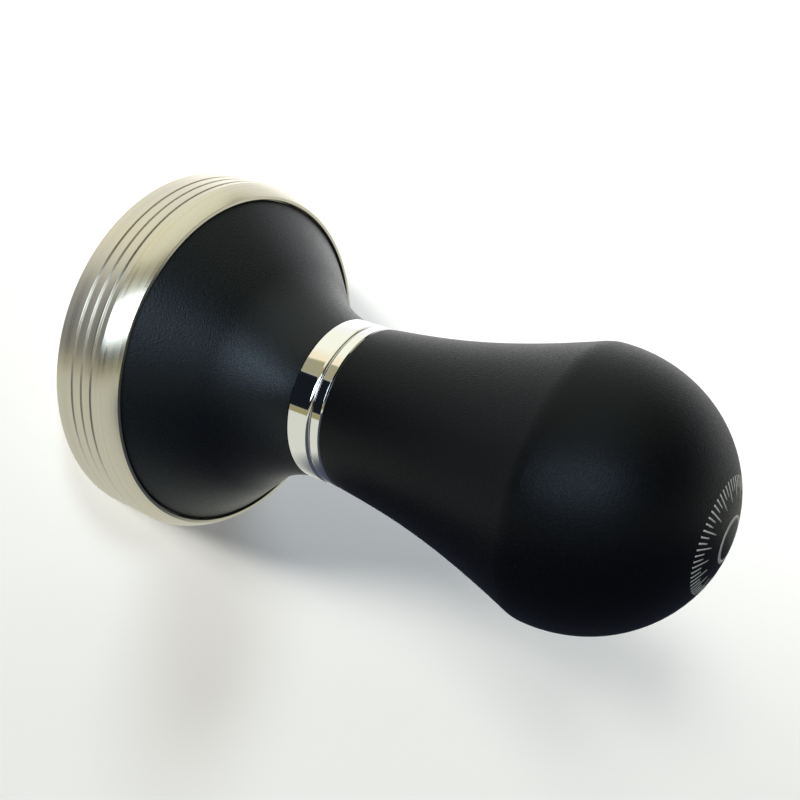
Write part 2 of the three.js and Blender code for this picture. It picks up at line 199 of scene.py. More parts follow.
RUBBER_DARK = (0.010, 0.010, 0.010)
RUBBER_LIGHT = (0.030, 0.030, 0.029)
RUBBER_BLOOM = 300
RUBBER_GRAIN = 3000
RUBBER_ROUGHNESS = (0.55, 0.7)
RUBBER_BUMP = (0.4, 0.01 * MM)

ZINC_DARK = (0.50, 0.52, 0.54)
ZINC_LIGHT = (0.66, 0.68, 0.70)
ZINC_ROUGHNESS = (0.22, 0.34)
SPRING_DARK = (0.24, 0.25, 0.26)
SPRING_LIGHT = (0.38, 0.39, 0.40)
SPRING_ROUGHNESS = (0.3, 0.42)
HARDWARE_BLOTCHES = 700
HARDWARE_LINES = 6000
HARDWARE_BUMP = (0.2, 0.003 * MM)

# The photograph's table, which only reflections show: up from it, and from it towards the camera
TABLE_UP = Vector((-0.890, -0.438, -0.123)).normalized()
TABLE_FRONT = Vector((0.283, -0.745, 0.604)).normalized()
TABLE_DISTANCE = 30.6 * MM
TABLE_HALF_SIZE = 270 * MM
# Painted light of the glowing card, then the colour of its painted shadow
TABLE_PAINTED_LIGHT = (0.68, 0.69, 0.62)
TABLE_SHADE = (0.06, 0.07, 0.10)

# The tamper's painted shadow on that table: centre and half size, along the axis and across it, and
# its lean
TABLE_SHADOW_CENTRE = (100 * MM, -45 * MM)
TABLE_SHADOW_SIZE = (92 * MM, 85 * MM)
TABLE_SHADOW_LEAN = 0.25
TABLE_SHADOW_SQUARENESS = 3
TABLE_SHADOW_STEP = (0.95, 0.3)

# The room round that table, by direction: a step is its middle and its width, in degrees
ROOM_TABLE_BELOW = (0.17, 0.23, 0.28)
ROOM_TABLE_AROUND = (0.66, 0.69, 0.65)
ROOM_TABLE_STEP = (-33, 36)
ROOM_BACKDROP = (1.0, 1.0, 0.99)
ROOM_BACKDROP_STEP = (-10, 24)
ROOM_CEILING = (0.99, 1.0, 0.86)
ROOM_CEILING_STEP = (46, 14)

# The bright low part behind the tamper: cosine of its step, then lowest and highest elevation, edge
ROOM_BEHIND = (1.7, 1.7, 1.67)
ROOM_BEHIND_STEP = (0.85, 0.3)
ROOM_BEHIND_BAND = (-5, 32, 15)

# The warm wall: first and last azimuth, edge, then the step in elevation above which it shows
ROOM_WALL = (0.97, 0.86, 0.63)
ROOM_WALL_BAND = (-112, -40, 30)
ROOM_WALL_STEP = (50, 6)

# Where the dark camera side starts and ends in azimuth, and how its end leans with the elevation
ROOM_DARK_START = (-94, 4)
ROOM_DARK_END = (85, 50)
ROOM_DARK_LEAN = 0.9

# What stands on the camera side: lowest and highest elevation in degrees, colour
ROOM_LAYERS = (
    (-6.5, 1, (0.32, 0.29, 0.145)),
    (1, 40, (0.008, 0.010, 0.014)),
    (40, 56, (0.36, 0.34, 0.22)),
)
ROOM_LAYER_EDGE = 1.5

# Even light: 1 lights a white surface to white
WORLD_COLOUR = (0.97, 0.99, 1.0)
WORLD_LEVEL = 0.17

# The floor, and the painted light that only the camera sees on it
FLOOR_HALF_SIZE = 20.0
FLOOR_COLOUR = (0.88, 0.89, 0.90)
FLOOR_ROUGHNESS = 0.9
FLOOR_SPECULAR = 0.1
FLOOR_PAINTED_LIGHT = 0.35
FLOOR_PAINTED_LIGHT_COLOUR = (1.0, 0.995, 0.985)

# That painted light fades towards +X, a painted falloff, by x over the distance along Y: middle,
# width, least distance
FLOOR_FADE = (0.02, 0.47)
FLOOR_FADE_NEAR = 0.3

# Soft lamps for the floor alone: azimuth from the front, elevation, width in degrees, level, colour
FLOOR_LAMPS = (
    (-10.5, 8, 7, 0.33, (1.0, 0.97, 0.87)),
    (-16, 12, 11, 0.25, (1.0, 0.97, 0.87)),
    (-60, 45, 18, 0.22, (0.84, 0.94, 1.0)),
)

# The window in front of the tamper: azimuth and elevation in the table's frame, distance, size
WINDOW_AZIMUTH = math.radians(-16)
WINDOW_ELEVATION = math.radians(25)
WINDOW_DISTANCE = 0.7
WINDOW_SIZE = (0.78, 0.29)
WINDOW_POWER = 3.0
WINDOW_COLOUR = (0.78, 0.88, 1.0)

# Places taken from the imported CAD
_, piston_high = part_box("piston_base")
skirt_low, skirt_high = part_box("flare_skirt")
collar_low, collar_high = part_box("collar_ring")
grip_low, grip_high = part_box("handle_grip")
stud_low, stud_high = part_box("tie_stud")
_, washer_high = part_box("plain_washer")
_, ring_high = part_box("friction_ring")
piston_radius = piston_high.x
lip_height = piston_high.z
seat_height = skirt_low.z
foot_radius = skirt_high.x
recess_radius = foot_radius + SKIRT_GAP
collar_radius = collar_high.x
collar_bottom = collar_low.z
collar_top = collar_high.z
knob_radius = grip_high.x
knob_height = grip_high.z - KNOB_END
spigot_radius = collar_radius - COLLAR_WALL - SPIGOT_CLEARANCE


# Outlines


def filleted(corners):
    """Points of an outline given as (radius, height, fillet) corners. Each fillet is a small arc."""
    points = []
    count = len(corners)
    for i, (radius, height, fillet) in enumerate(corners):
        here = Vector((radius, height))
        if fillet == 0 or i in (0, count - 1):
            points.append((radius, height))
            continue
        to_before = Vector(corners[i - 1][:2]) - here
        to_after = Vector(corners[i + 1][:2]) - here
        half = to_before.angle(to_after) / 2
        room = FILLET_SHARE * min(to_before.length, to_after.length)
        reach = min(fillet / math.tan(half), room)
        size = reach * math.tan(half)
        middle = (to_before.normalized() + to_after.normalized()).normalized()
        centre = here + middle * (size / math.sin(half))
        start = here + to_before.normalized() * reach - centre
        end = here + to_after.normalized() * reach - centre
        turn = start.angle_signed(end)
        for step in range(FILLET_STEPS + 1):
            arm = start.copy()
            arm.rotate(Matrix.Rotation(-turn * step / FILLET_STEPS, 2))
            points.append(tuple(centre + arm))
    return supported(points)


def supported(points):
    """Adds a point close to each end of every long straight stretch, so that flats shade as flats."""
    dense = []
    for a, b in zip(points, points[1:]):
        dense.append(a)
        start, end = Vector(a), Vector(b)
        length = (end - start).length
        if length > LONG_FLAT:
            inwards = (end - start) / length * FLAT_MARGIN
            dense.append(tuple(start + inwards))
            dense.append(tuple(end - inwards))
    dense.append(points[-1])
    return dense


def shoulder():
    """The piston's rounded shoulder, from its wall up to the lip."""
    start = Vector((piston_radius, lip_height - SHOULDER_HEIGHT))
    end = Vector((recess_radius + LIP_WIDTH, lip_height))
    slope = end - start
    outwards = Vector((slope.y, -slope.x)).normalized()
    points = []
    for step in range(SHOULDER_STEPS + 1):
        t = step / SHOULDER_STEPS
        point = start + slope * t + outwards * (SHOULDER_SWELL * 4 * t * (1 - t))
        points.append((min(point.x, piston_radius), point.y, 0))
    return points


def piston_outline():
    corners = [(0, 0, 0), (piston_radius, 0, TAMPING_EDGE)]
    for i in range(GROOVE_COUNT):
        height = GROOVE_START + i * GROOVE_SPACING
        corners.append((piston_radius, height - GROOVE_WIDTH / 2, GROOVE_LOWER_ROUNDING))
        corners.append((piston_radius - GROOVE_DEPTH, height, FINE_EDGE))
        corners.append((piston_radius, height + GROOVE_WIDTH / 2, GROOVE_UPPER_ROUNDING))
    bore_end = stud_low.z - STUD_END_ROOM
    corners += [
        *shoulder(),
        (recess_radius, lip_height, SOFT_EDGE),
        (recess_radius, seat_height, SOFT_EDGE),
        (STUD_BORE_RADIUS + BORE_COUNTERSINK, seat_height, FINE_EDGE),
        (STUD_BORE_RADIUS, seat_height - BORE_COUNTERSINK, FINE_EDGE),
        (STUD_BORE_RADIUS, bore_end, SOFT_EDGE),
        (0, bore_end, 0),
    ]
    return filleted(corners)


def flare(foot_edge):
    """The skirt's concave side, from its foot edge up to the neck: a cone that turns into an arc."""
    centre_radius = NECK_RADIUS + FLARE_RADIUS * math.cos(NECK_ANGLE)
    centre_height = collar_bottom + FLARE_RADIUS * math.sin(NECK_ANGLE)
    across = centre_radius - foot_edge[0]
    up = centre_height - foot_edge[1]
    tangent = math.atan2(up, across) - math.acos(FLARE_RADIUS / math.hypot(across, up))
    points = []
    for step in range(FLARE_STEPS + 1):
        angle = tangent + (NECK_ANGLE - tangent) * step / FLARE_STEPS
        radius = centre_radius - FLARE_RADIUS * math.cos(angle)
        height = centre_height - FLARE_RADIUS * math.sin(angle)
        points.append((radius, height, 0))
    return points


def skirt_outline():
    groove_outer = ring_high.x + RING_SIDE_CLEARANCE
    groove_inner = ring_high.x - RING_WIDTH - RING_SIDE_CLEARANCE
    edge = (foot_radius - SKIRT_EDGE_BEVEL, lip_height - SKIRT_EDGE_BELOW_LIP)
    return filleted([
        (STUD_HOLE_RADIUS, washer_high.z, 0),
        (COUNTERBORE_RADIUS, washer_high.z, SOFT_EDGE),
        (COUNTERBORE_RADIUS, seat_height, SOFT_EDGE),
        (groove_inner, seat_height, SOFT_EDGE),
        (groove_inner, ring_high.z, SOFT_EDGE),
        (groove_outer, ring_high.z, SOFT_EDGE),
        (groove_outer, seat_height, SOFT_EDGE),
        (foot_radius, seat_height, SOFT_EDGE),
        (foot_radius, edge[1] - SKIRT_EDGE_BEVEL, SOFT_EDGE),
        (*edge, SKIRT_EDGE_ROUNDING),
        *flare(edge),
        (spigot_radius, collar_bottom, 0),
        (spigot_radius, skirt_high.z, SOFT_EDGE),
        (STUD_HOLE_RADIUS, skirt_high.z, 0),
    ])


def cove(band_top):
    """The collar's quarter-round cove, from its wide band up to its slot."""
    points = []
    for step in range(1, COVE_STEPS + 1):
        angle = math.pi / 2 * step / COVE_STEPS
        radius = collar_radius - COLLAR_COVE * (1 - math.cos(angle))
        height = band_top + COLLAR_COVE * math.sin(angle)
        points.append((radius, height, 0))
    return points


def collar_outline():
    inner = collar_radius - COLLAR_WALL
    band_top = collar_bottom + COLLAR_BAND
    cove_top = band_top + COLLAR_COVE
    slot_top = cove_top + COLLAR_SLOT_WIDTH
    slot_floor = collar_radius - COLLAR_SLOT_DEPTH
    return filleted([
        (inner, collar_bottom, 0),
        (collar_radius - COLLAR_CHAMFER, collar_bottom, COLLAR_EDGE_ROUNDING),
        (collar_radius, collar_bottom + COLLAR_CHAMFER, COLLAR_EDGE_ROUNDING),
        (collar_radius, band_top, 0),
        *cove(band_top),
        (slot_floor, cove_top, 0),
        (slot_floor, slot_top, 0),
        (collar_radius - COLLAR_CHAMFER / 2, slot_top, COLLAR_EDGE_ROUNDING),
        (collar_radius, slot_top + COLLAR_CHAMFER / 2, COLLAR_EDGE_ROUNDING),
        (collar_radius, collar_top - COLLAR_CHAMFER, COLLAR_EDGE_ROUNDING),
        (collar_radius - COLLAR_CHAMFER, collar_top, COLLAR_EDGE_ROUNDING),
        (inner, collar_top, 0),
    ])


def neck_point(t):
    """A point on a Bezier curve from the collar (t = 0) to the knob's shoulder (t = 1)."""
    start = Vector((GRIP_NECK_RADIUS, collar_top))
    lower = start + Vector((GRIP_NECK_SLOPE * GRIP_NECK_PULL, GRIP_NECK_PULL))
    end = knob_point(-KNOB_SHOULDER_ANGLE)
    upwards = Vector((
        knob_radius * math.sin(KNOB_SHOULDER_ANGLE),
        KNOB_SHOULDER_HEIGHT * math.cos(KNOB_SHOULDER_ANGLE),
    ))
    upper = end - upwards.normalized() * KNOB_SHOULDER_PULL
    rest = 1 - t
    return start * rest**3 + lower * (3 * t * rest**2) + upper * (3 * t**2 * rest) + end * t**3


def knob_point(angle):
    """A point on the knob: its round end above the widest place, its tight shoulder below it."""
    half_height = KNOB_END if angle > 0 else KNOB_SHOULDER_HEIGHT
    return Vector((knob_radius * math.cos(angle), knob_height + half_height * math.sin(angle)))


def grip_outline():
    bore_end = stud_high.z + STUD_END_ROOM
    corners = [
        (0, bore_end, 0),
        (STUD_BORE_RADIUS, bore_end, SOFT_EDGE),
        (STUD_BORE_RADIUS, grip_low.z, SOFT_EDGE),
        (spigot_radius, grip_low.z, SOFT_EDGE),
        (spigot_radius, collar_top, 0),
        (GRIP_NECK_RADIUS - GRIP_EDGE_BEVEL, collar_top, 0),
        (GRIP_NECK_RADIUS, collar_top + GRIP_EDGE_BEVEL, FINE_EDGE),
    ]
    for step in range(1, NECK_STEPS):
        corners.append((*neck_point(step / NECK_STEPS), 0))
    for step in range(KNOB_SHOULDER_STEPS):
        angle = -KNOB_SHOULDER_ANGLE * (1 - step / KNOB_SHOULDER_STEPS)
        corners.append((*knob_point(angle), 0))
    for step in range(KNOB_STEPS):
        corners.append((*knob_point(math.pi / 2 * step / KNOB_STEPS), 0))
    corners.append((0, grip_high.z, 0))
    return filleted(corners)


# Meshes


def linked(name, data):
    """A new object in the scene, for a mesh, a lamp or the camera."""
    thing = bpy.data.objects.new(name, data)
    bpy.context.scene.collection.objects.link(thing)
    return thing


def finished(name, mesh):
    """Turns a bmesh into a smooth object in the scene."""
    bmesh.ops.recalc_face_normals(mesh, faces=mesh.faces)
    data = bpy.data.meshes.new(name)
    mesh.to_mesh(data)
    mesh.free()
    data.polygons.foreach_set("use_smooth", [True] * len(data.polygons))
    return linked(name, data)


def flat_square(name, half_size):
    corners = [
        (-half_size, -half_size, 0),
        (half_size, -half_size, 0),
        (half_size, half_size, 0),
        (-half_size, half_size, 0),
    ]
    data = bpy.data.meshes.new(name)
    data.from_pydata(corners, [], [(0, 1, 2, 3)])
    return linked(name, data)


def revolve(name, outline):
    """A turned body: the outline, from the axis or closed on itself, revolved round Z."""
    mesh = bmesh.new()
    rings = []
    for radius, height in outline:
        if radius <= 0:
            rings.append([mesh.verts.new((0, 0, height))])
            continue
        ring = []
        for i in range(ROUND_SEGMENTS):
            angle = 2 * math.pi * i / ROUND_SEGMENTS
            ring.append(mesh.verts.new((radius * math.cos(angle), radius * math.sin(angle), height)))
        rings.append(ring)
    pairs = list(zip(rings, rings[1:]))
    if outline[0][0] > 0:
        pairs.append((rings[-1], rings[0]))
    for lower, upper in pairs:
        for i in range(ROUND_SEGMENTS):
            j = (i + 1) % ROUND_SEGMENTS
            if len(lower) == 1:
                mesh.faces.new((lower[0], upper[j], upper[i]))
            elif len(upper) == 1:
                mesh.faces.new((lower[i], lower[j], upper[0]))
            else:
                mesh.faces.new((lower[i], lower[j], upper[j], upper[i]))
    return finished(name, mesh)


def etched_mark():
    """The mark on the knob's end: thin closed strips that follow its round surface."""
    mesh = bmesh.new()
    half_turn = MARK_TICK_WIDTH / 2 / MARK_TICK_OUTER
    for i in range(MARK_TICKS):
        length = MARK_TICK_SHORT if i % MARK_TICKS_PER_LONG_ONE else MARK_TICK_LONG
        angle = 2 * math.pi * i / MARK_TICKS
        radii = (MARK_TICK_OUTER - length, MARK_TICK_OUTER)
        mark_strip(mesh, radii, (angle - half_turn, angle + half_turn), MARK_TICK_FACES)
    radii = (MARK_RING_OUTER - MARK_RING_WIDTH, MARK_RING_OUTER)
    mark_strip(mesh, radii, (0, 2 * math.pi), MARK_RING_FACES)
    bmesh.ops.remove_doubles(mesh, verts=mesh.verts, dist=MARK_MERGE_DISTANCE)
    return finished("etched_mark", mesh)


def mark_strip(mesh, radii, angles, faces):
    """A closed strip between two radii and two angles, its top just proud of the knob."""
    back = mark_layer(mesh, radii, angles, faces, -MARK_SUNK)
    top = mark_layer(mesh, radii, angles, faces, MARK_PROUD)
    outwards, around = faces
    for i in range(outwards):
        for j in range(around):
            for rows in (back, top):
                mesh.faces.new((rows[i][j], rows[i + 1][j], rows[i + 1][j + 1], rows[i][j + 1]))
    for j in range(around):
        for i in (0, -1):
            mesh.faces.new((back[i][j], back[i][j + 1], top[i][j + 1], top[i][j]))
    whole_ring = angles[1] - angles[0] > math.pi
    if whole_ring:
        return
    for i in range(outwards):
        for j in (0, -1):
            mesh.faces.new((back[i][j], back[i + 1][j], top[i + 1][j], top[i][j]))


def mark_layer(mesh, radii, angles, faces, offset):
    """Rows of points that follow the knob's surface, offset from it along the axis."""
    outwards, around = faces
    rows = []
    for i in range(outwards + 1):
        radius = radii[0] + (radii[1] - radii[0]) * i / outwards
        height = knob_height + KNOB_END * math.sqrt(1 - (radius / knob_radius) ** 2) + offset
        row = []
        for j in range(around + 1):
            angle = angles[0] + (angles[1] - angles[0]) * j / around
            row.append(mesh.verts.new((radius * math.cos(angle), radius * math.sin(angle), height)))
        rows.append(row)
    return rows


def dress(node, material):
    """Gives a CAD node that stays in view its finished material."""
    for material_slot in frame["nodes"][node].material_slots:
        material_slot.material = material


def place(body, node, material):
    """Lets a fine body stand for its CAD node, on that node's rigid body and with its finish."""
    body.data.materials.append(material)
    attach(body, body_of_node(node))
    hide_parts(node)


def body_of_node(node):
    bodies = frame["record"]["behaviour"]["bodies"]
    return next(name for name, nodes in bodies.items() if node in nodes)


# Shader nodes


def new_material(name):
    material = bpy.data.materials.new(name)
    material.use_nodes = True
    tree = material.node_tree
    return material, tree, tree.nodes["Principled BSDF"]


def feed(tree, shader, socket, value):
    """Drives one socket of a shader with another node's output."""
    tree.links.new(value, shader.inputs[socket])


def math_node(tree, operation, *values):
    node = tree.nodes.new("ShaderNodeMath")
    node.operation = operation
    for socket, value in zip(node.inputs, values):
        if isinstance(value, (int, float)):
            socket.default_value = value
        else:
            tree.links.new(value, socket)
    return node.outputs[0]


def object_coordinates(tree):
    return tree.nodes.new("ShaderNodeTexCoord").outputs["Object"]


def object_axes(tree):
    """The x, y and z of a point on the object, each as an output."""
    split = tree.nodes.new("ShaderNodeSeparateXYZ")
    tree.links.new(object_coordinates(tree), split.inputs[0])
    return split.outputs


def turning_coordinates(tree):
    """(radius, height, 0) of a point, so that a texture on it runs round the axis as tool marks do."""
    x, y, z = object_axes(tree)
    x_squared = math_node(tree, "MULTIPLY", x, x)
    y_squared = math_node(tree, "MULTIPLY", y, y)
    radius = math_node(tree, "SQRT", math_node(tree, "ADD", x_squared, y_squared))
    join = tree.nodes.new("ShaderNodeCombineXYZ")
    tree.links.new(radius, join.inputs[0])
    tree.links.new(z, join.inputs[1])
    return join.outputs[0]


def noise(tree, vector, scale, detail=2.0, roughness=0.5):
    node = tree.nodes.new("ShaderNodeTexNoise")
    node.inputs["Scale"].default_value = scale
    node.inputs["Detail"].default_value = detail
    node.inputs["Roughness"].default_value = roughness
    tree.links.new(vector, node.inputs["Vector"])
    return node.outputs["Fac"]


def map_range(tree, value, low, high, from_low=NOISE_LOW, from_high=NOISE_HIGH):
    """Maps a value, by default the middle of a noise, to a range of its own."""
    node = tree.nodes.new("ShaderNodeMapRange")
    node.inputs["From Min"].default_value = from_low
    node.inputs["From Max"].default_value = from_high
    node.inputs["To Min"].default_value = low
    node.inputs["To Max"].default_value = high
    tree.links.new(value, node.inputs["Value"])
    return node.outputs[0]


def step_up(tree, value, middle, width):
    """0 below a value and 1 above it, with a smooth edge of the given width."""
    node = tree.nodes.new("ShaderNodeMapRange")
    node.interpolation_type = "SMOOTHSTEP"
    node.inputs["From Min"].default_value = middle - width / 2
    node.inputs["From Max"].default_value = middle + width / 2
    tree.links.new(value, node.inputs["Value"])
    return node.outputs[0]


def between(tree, value, low, high, width):
    above = step_up(tree, value, low, width)
    over = step_up(tree, value, high, width)
    return math_node(tree, "SUBTRACT", above, over)


def mix_colour(tree, factor, first, second):
    """A mix of a colour, or of what is there already, with a second colour."""
    node = tree.nodes.new("ShaderNodeMix")
    node.data_type = "RGBA"
    tree.links.new(factor, node.inputs["Factor"])
    if isinstance(first, tuple):
        node.inputs["A"].default_value = (*first, 1)
    else:
        tree.links.new(first, node.inputs["A"])
    node.inputs["B"].default_value = (*second, 1)
    return node.outputs["Result"]


def bump(tree, shader, height, strength, distance):
    node = tree.nodes.new("ShaderNodeBump")
    node.inputs["Strength"].default_value = strength
    node.inputs["Distance"].default_value = distance
    tree.links.new(height, node.inputs["Height"])
    tree.links.new(node.outputs[0], shader.inputs["Normal"])


# Materials


def turned_steel():
    """Stainless steel with the turning tool's fine lines round the axis, smoother on the shoulder."""
    material, tree, shader = new_material("turned_steel")
    marks = turning_coordinates(tree)
    fine = noise(tree, marks, STEEL_FINE_LINES, detail=4, roughness=0.6)
    broad = noise(tree, marks, STEEL_BROAD_LINES)
    fine_part = math_node(tree, "MULTIPLY", fine, STEEL_FINE_SHARE)
    broad_part = math_node(tree, "MULTIPLY", broad, STEEL_BROAD_SHARE)
    lines = math_node(tree, "ADD", fine_part, broad_part)
    feed(tree, shader, "Base Color", mix_colour(tree, lines, STEEL_DARK, STEEL_LIGHT))
    _, _, height = object_axes(tree)
    shoulder_start = lip_height - SHOULDER_HEIGHT
    shoulder_whole = shoulder_start + STEEL_SHOULDER_BLEND
    on_shoulder = map_range(tree, height, 0, 1, shoulder_start, shoulder_whole)
    smoother = math_node(tree, "MULTIPLY", on_shoulder, -STEEL_SHOULDER_SMOOTHER)
    uneven = map_range(tree, lines, *STEEL_ROUGHNESS)
    feed(tree, shader, "Roughness", math_node(tree, "ADD", uneven, smoother))
    shader.inputs["Metallic"].default_value = 1.0
    turned_highlight(tree, shader)
    bump(tree, shader, lines, *STEEL_BUMP)
    return material


def turned_highlight(tree, shader):
    """Draws highlights out across the turning marks, as fine lines round the axis do."""
    shader.inputs["Anisotropic"].default_value = STEEL_DRAWN_OUT
    shader.inputs["Anisotropic Rotation"].default_value = STEEL_QUARTER_TURN
    tangent = tree.nodes.new("ShaderNodeTangent")
    tangent.direction_type = "RADIAL"
    tangent.axis = "Z"
    feed(tree, shader, "Tangent", tangent.outputs[0])


def black_anodised(name, roughness, specular):
    """Bead-blasted aluminium, anodised black: a soft sheen over a very fine grain."""
    material, tree, shader = new_material(name)
    where = object_coordinates(tree)
    grain = noise(tree, where, BLACK_GRAIN, roughness=0.6)
    cloud = noise(tree, where, BLACK_CLOUD, detail=3)
    feed(tree, shader, "Base Color", mix_colour(tree, grain, BLACK_DARK, BLACK_LIGHT))
    even = map_range(tree, cloud, *roughness)
    grainy = map_range(tree, grain, -BLACK_GRAIN_ROUGHNESS, BLACK_GRAIN_ROUGHNESS)
    feed(tree, shader, "Roughness", math_node(tree, "ADD", even, grainy))
    shader.inputs["Specular IOR Level"].default_value = specular
    shader.inputs["Specular Tint"].default_value = (*BLACK_SHEEN, 1)
    bump(tree, shader, grain, *BLACK_BUMP)
    return material


def polished_chrome():
    """Mirror-polished chrome with faint polishing lines."""
    material, tree, shader = new_material("polished_chrome")
    lines = noise(tree, turning_coordinates(tree), CHROME_LINES, detail=3)
    feed(tree, shader, "Roughness", map_range(tree, lines, *CHROME_ROUGHNESS))
    shader.inputs["Base Color"].default_value = (*CHROME_COLOUR, 1)
    shader.inputs["Metallic"].default_value = 1.0
    bump(tree, shader, lines, *CHROME_BUMP)
    return material


def etched_silver():
    """The bare metal that laser etching leaves, with a faint even grain."""
    material, tree, shader = new_material("etched_silver")
    grain = noise(tree, object_coordinates(tree), ETCHED_GRAIN, detail=3)
    feed(tree, shader, "Base Color", mix_colour(tree, grain, ETCHED_DARK, ETCHED_LIGHT))
    feed(tree, shader, "Roughness", map_range(tree, grain, *ETCHED_ROUGHNESS))
    shader.inputs["Metallic"].default_value = ETCHED_METALLIC
    bump(tree, shader, grain, *ETCHED_BUMP)
    return material


def black_rubber():
    """Dull black rubber with a fine moulded grain and a little grey bloom."""
    material, tree, shader = new_material("black_rubber")
    where = object_coordinates(tree)
    grain = noise(tree, where, RUBBER_GRAIN, detail=3)
    bloom = noise(tree, where, RUBBER_BLOOM, detail=4)
    feed(tree, shader, "Base Color", mix_colour(tree, bloom, RUBBER_DARK, RUBBER_LIGHT))
    feed(tree, shader, "Roughness", map_range(tree, grain, *RUBBER_ROUGHNESS))
    bump(tree, shader, grain, *RUBBER_BUMP)
    return material


def plated_steel(name, dark, light, roughness):
    """Small steel hardware: a plated or oiled skin with soft blotches and fine turned lines."""
    material, tree, shader = new_material(name)
    blotches = noise(tree, object_coordinates(tree), HARDWARE_BLOTCHES, detail=4)
    lines = noise(tree, turning_coordinates(tree), HARDWARE_LINES, detail=3)
    feed(tree, shader, "Base Color", mix_colour(tree, blotches, dark, light))
    feed(tree, shader, "Roughness", map_range(tree, lines, *roughness))
    shader.inputs["Metallic"].default_value = 1.0
    bump(tree, shader, lines, *HARDWARE_BUMP)
    return material


def pale_floor():
    """The floor's material, with painted light that only the camera sees, whitening it and fading to
    one side as a painted falloff.
    """
    material, tree, shader = new_material("pale_floor")
    shader.inputs["Base Color"].default_value = (*FLOOR_COLOUR, 1)
    shader.inputs["Roughness"].default_value = FLOOR_ROUGHNESS
    shader.inputs["Specular IOR Level"].default_value = FLOOR_SPECULAR
    shader.inputs["Emission Color"].default_value = (*FLOOR_PAINTED_LIGHT_COLOUR, 1)
    x, y, _ = object_axes(tree)
    y_squared = math_node(tree, "MULTIPLY", y, y)
    distance = math_node(tree, "SQRT", math_node(tree, "ADD", y_squared, FLOOR_FADE_NEAR**2))
    faded = step_up(tree, math_node(tree, "DIVIDE", x, distance), *FLOOR_FADE)
    # Painted light: a glow for the camera alone, fading out towards +X
    lift = math_node(tree, "MULTIPLY", math_node(tree, "SUBTRACT", 1.0, faded), FLOOR_PAINTED_LIGHT)
    seen = tree.nodes.new("ShaderNodeLightPath").outputs["Is Camera Ray"]
    feed(tree, shader, "Emission Strength", math_node(tree, "MULTIPLY", seen, lift))
    return material


def table_card_material():
    """A table painted with light, glowing pale by itself, with the tamper's soft, leaning, nearly
    square shadow painted on it.
    """
    material, tree, shader = new_material("table_card")
    shader.inputs["Base Color"].default_value = (0, 0, 0, 1)
    shader.inputs["Specular IOR Level"].default_value = 0
    x, y, _ = object_axes(tree)
    leaning_x = math_node(tree, "ADD", x, math_node(tree, "MULTIPLY", y, TABLE_SHADOW_LEAN))
    powers = []
    for place_on_card, centre, half in zip((leaning_x, y), TABLE_SHADOW_CENTRE, TABLE_SHADOW_SIZE):
        share = math_node(tree, "DIVIDE", math_node(tree, "SUBTRACT", place_on_card, centre), half)
        size = math_node(tree, "ABSOLUTE", share)
        powers.append(math_node(tree, "POWER", size, TABLE_SHADOW_SQUARENESS))
    outwards = step_up(tree, math_node(tree, "ADD", *powers), *TABLE_SHADOW_STEP)
    feed(tree, shader, "Emission Color", mix_colour(tree, outwards, TABLE_SHADE, TABLE_PAINTED_LIGHT))
    shader.inputs["Emission Strength"].default_value = 1
    return material


# Stage


def camera():
    data = bpy.data.cameras.new("photo_camera")
    data.lens = CAMERA_LENS
    data.sensor_width = CAMERA_SENSOR
    data.shift_x, data.shift_y = CAMERA_SHIFT
    data.clip_start = CAMERA_NEAREST
    data.clip_end = CAMERA_FARTHEST
    holder = linked("photo_camera", data)
    level = (CAMERA_AIM - CAMERA_POSITION).to_track_quat("-Z", "Y").to_matrix()
    roll = Matrix.Rotation(CAMERA_ROLL, 3, "Z")
    holder.matrix_world = Matrix.Translation(CAMERA_POSITION) @ (level @ roll).to_4x4()
    bpy.context.scene.camera = holder


def floor():
    """Plain pale floor. It keeps the shadow and stays out of reflections."""
    ground = flat_square("floor", FLOOR_HALF_SIZE)
    ground.data.materials.append(pale_floor())
    ground.visible_glossy = False
    return ground


def floor_lamps(ground):
    """Wide soft lights for the floor alone, so that the shadow lies where the photograph has it."""
    receivers = bpy.data.collections.new("floor_lamp_receivers")
    receivers.objects.link(ground)
    for azimuth, elevation, width, level, colour in FLOOR_LAMPS:
        data = bpy.data.lights.new("floor_lamp", "SUN")
        data.energy = level * math.pi / math.sin(math.radians(elevation))
        data.angle = math.radians(width)
        data.color = colour
        holder = linked("floor_lamp", data)
        tilt = Matrix.Rotation(math.radians(90 - elevation), 3, "X")
        turn = Matrix.Rotation(math.radians(azimuth), 3, "Z")
        holder.matrix_world = (turn @ tilt).to_4x4()
        holder.light_linking.receiver_collection = receivers


def table_card():
    """A card where the photograph's table was, glowing with painted light and a painted shadow. Only
    reflections show it.
    """
    card = flat_square("table_card", TABLE_HALF_SIZE)
    card.data.materials.append(table_card_material())
    axis = Vector((0, 0, 1))
    lengthwise = (axis - TABLE_UP * axis.dot(TABLE_UP)).normalized()
    crosswise = TABLE_UP.cross(lengthwise)
    turn = Matrix((lengthwise, crosswise, TABLE_UP)).transposed()
    card.matrix_world = Matrix.Translation(-TABLE_UP * TABLE_DISTANCE) @ turn.to_4x4()
    card.visible_camera = False
    card.visible_diffuse = False
    card.visible_shadow = False
    card.visible_transmission = False


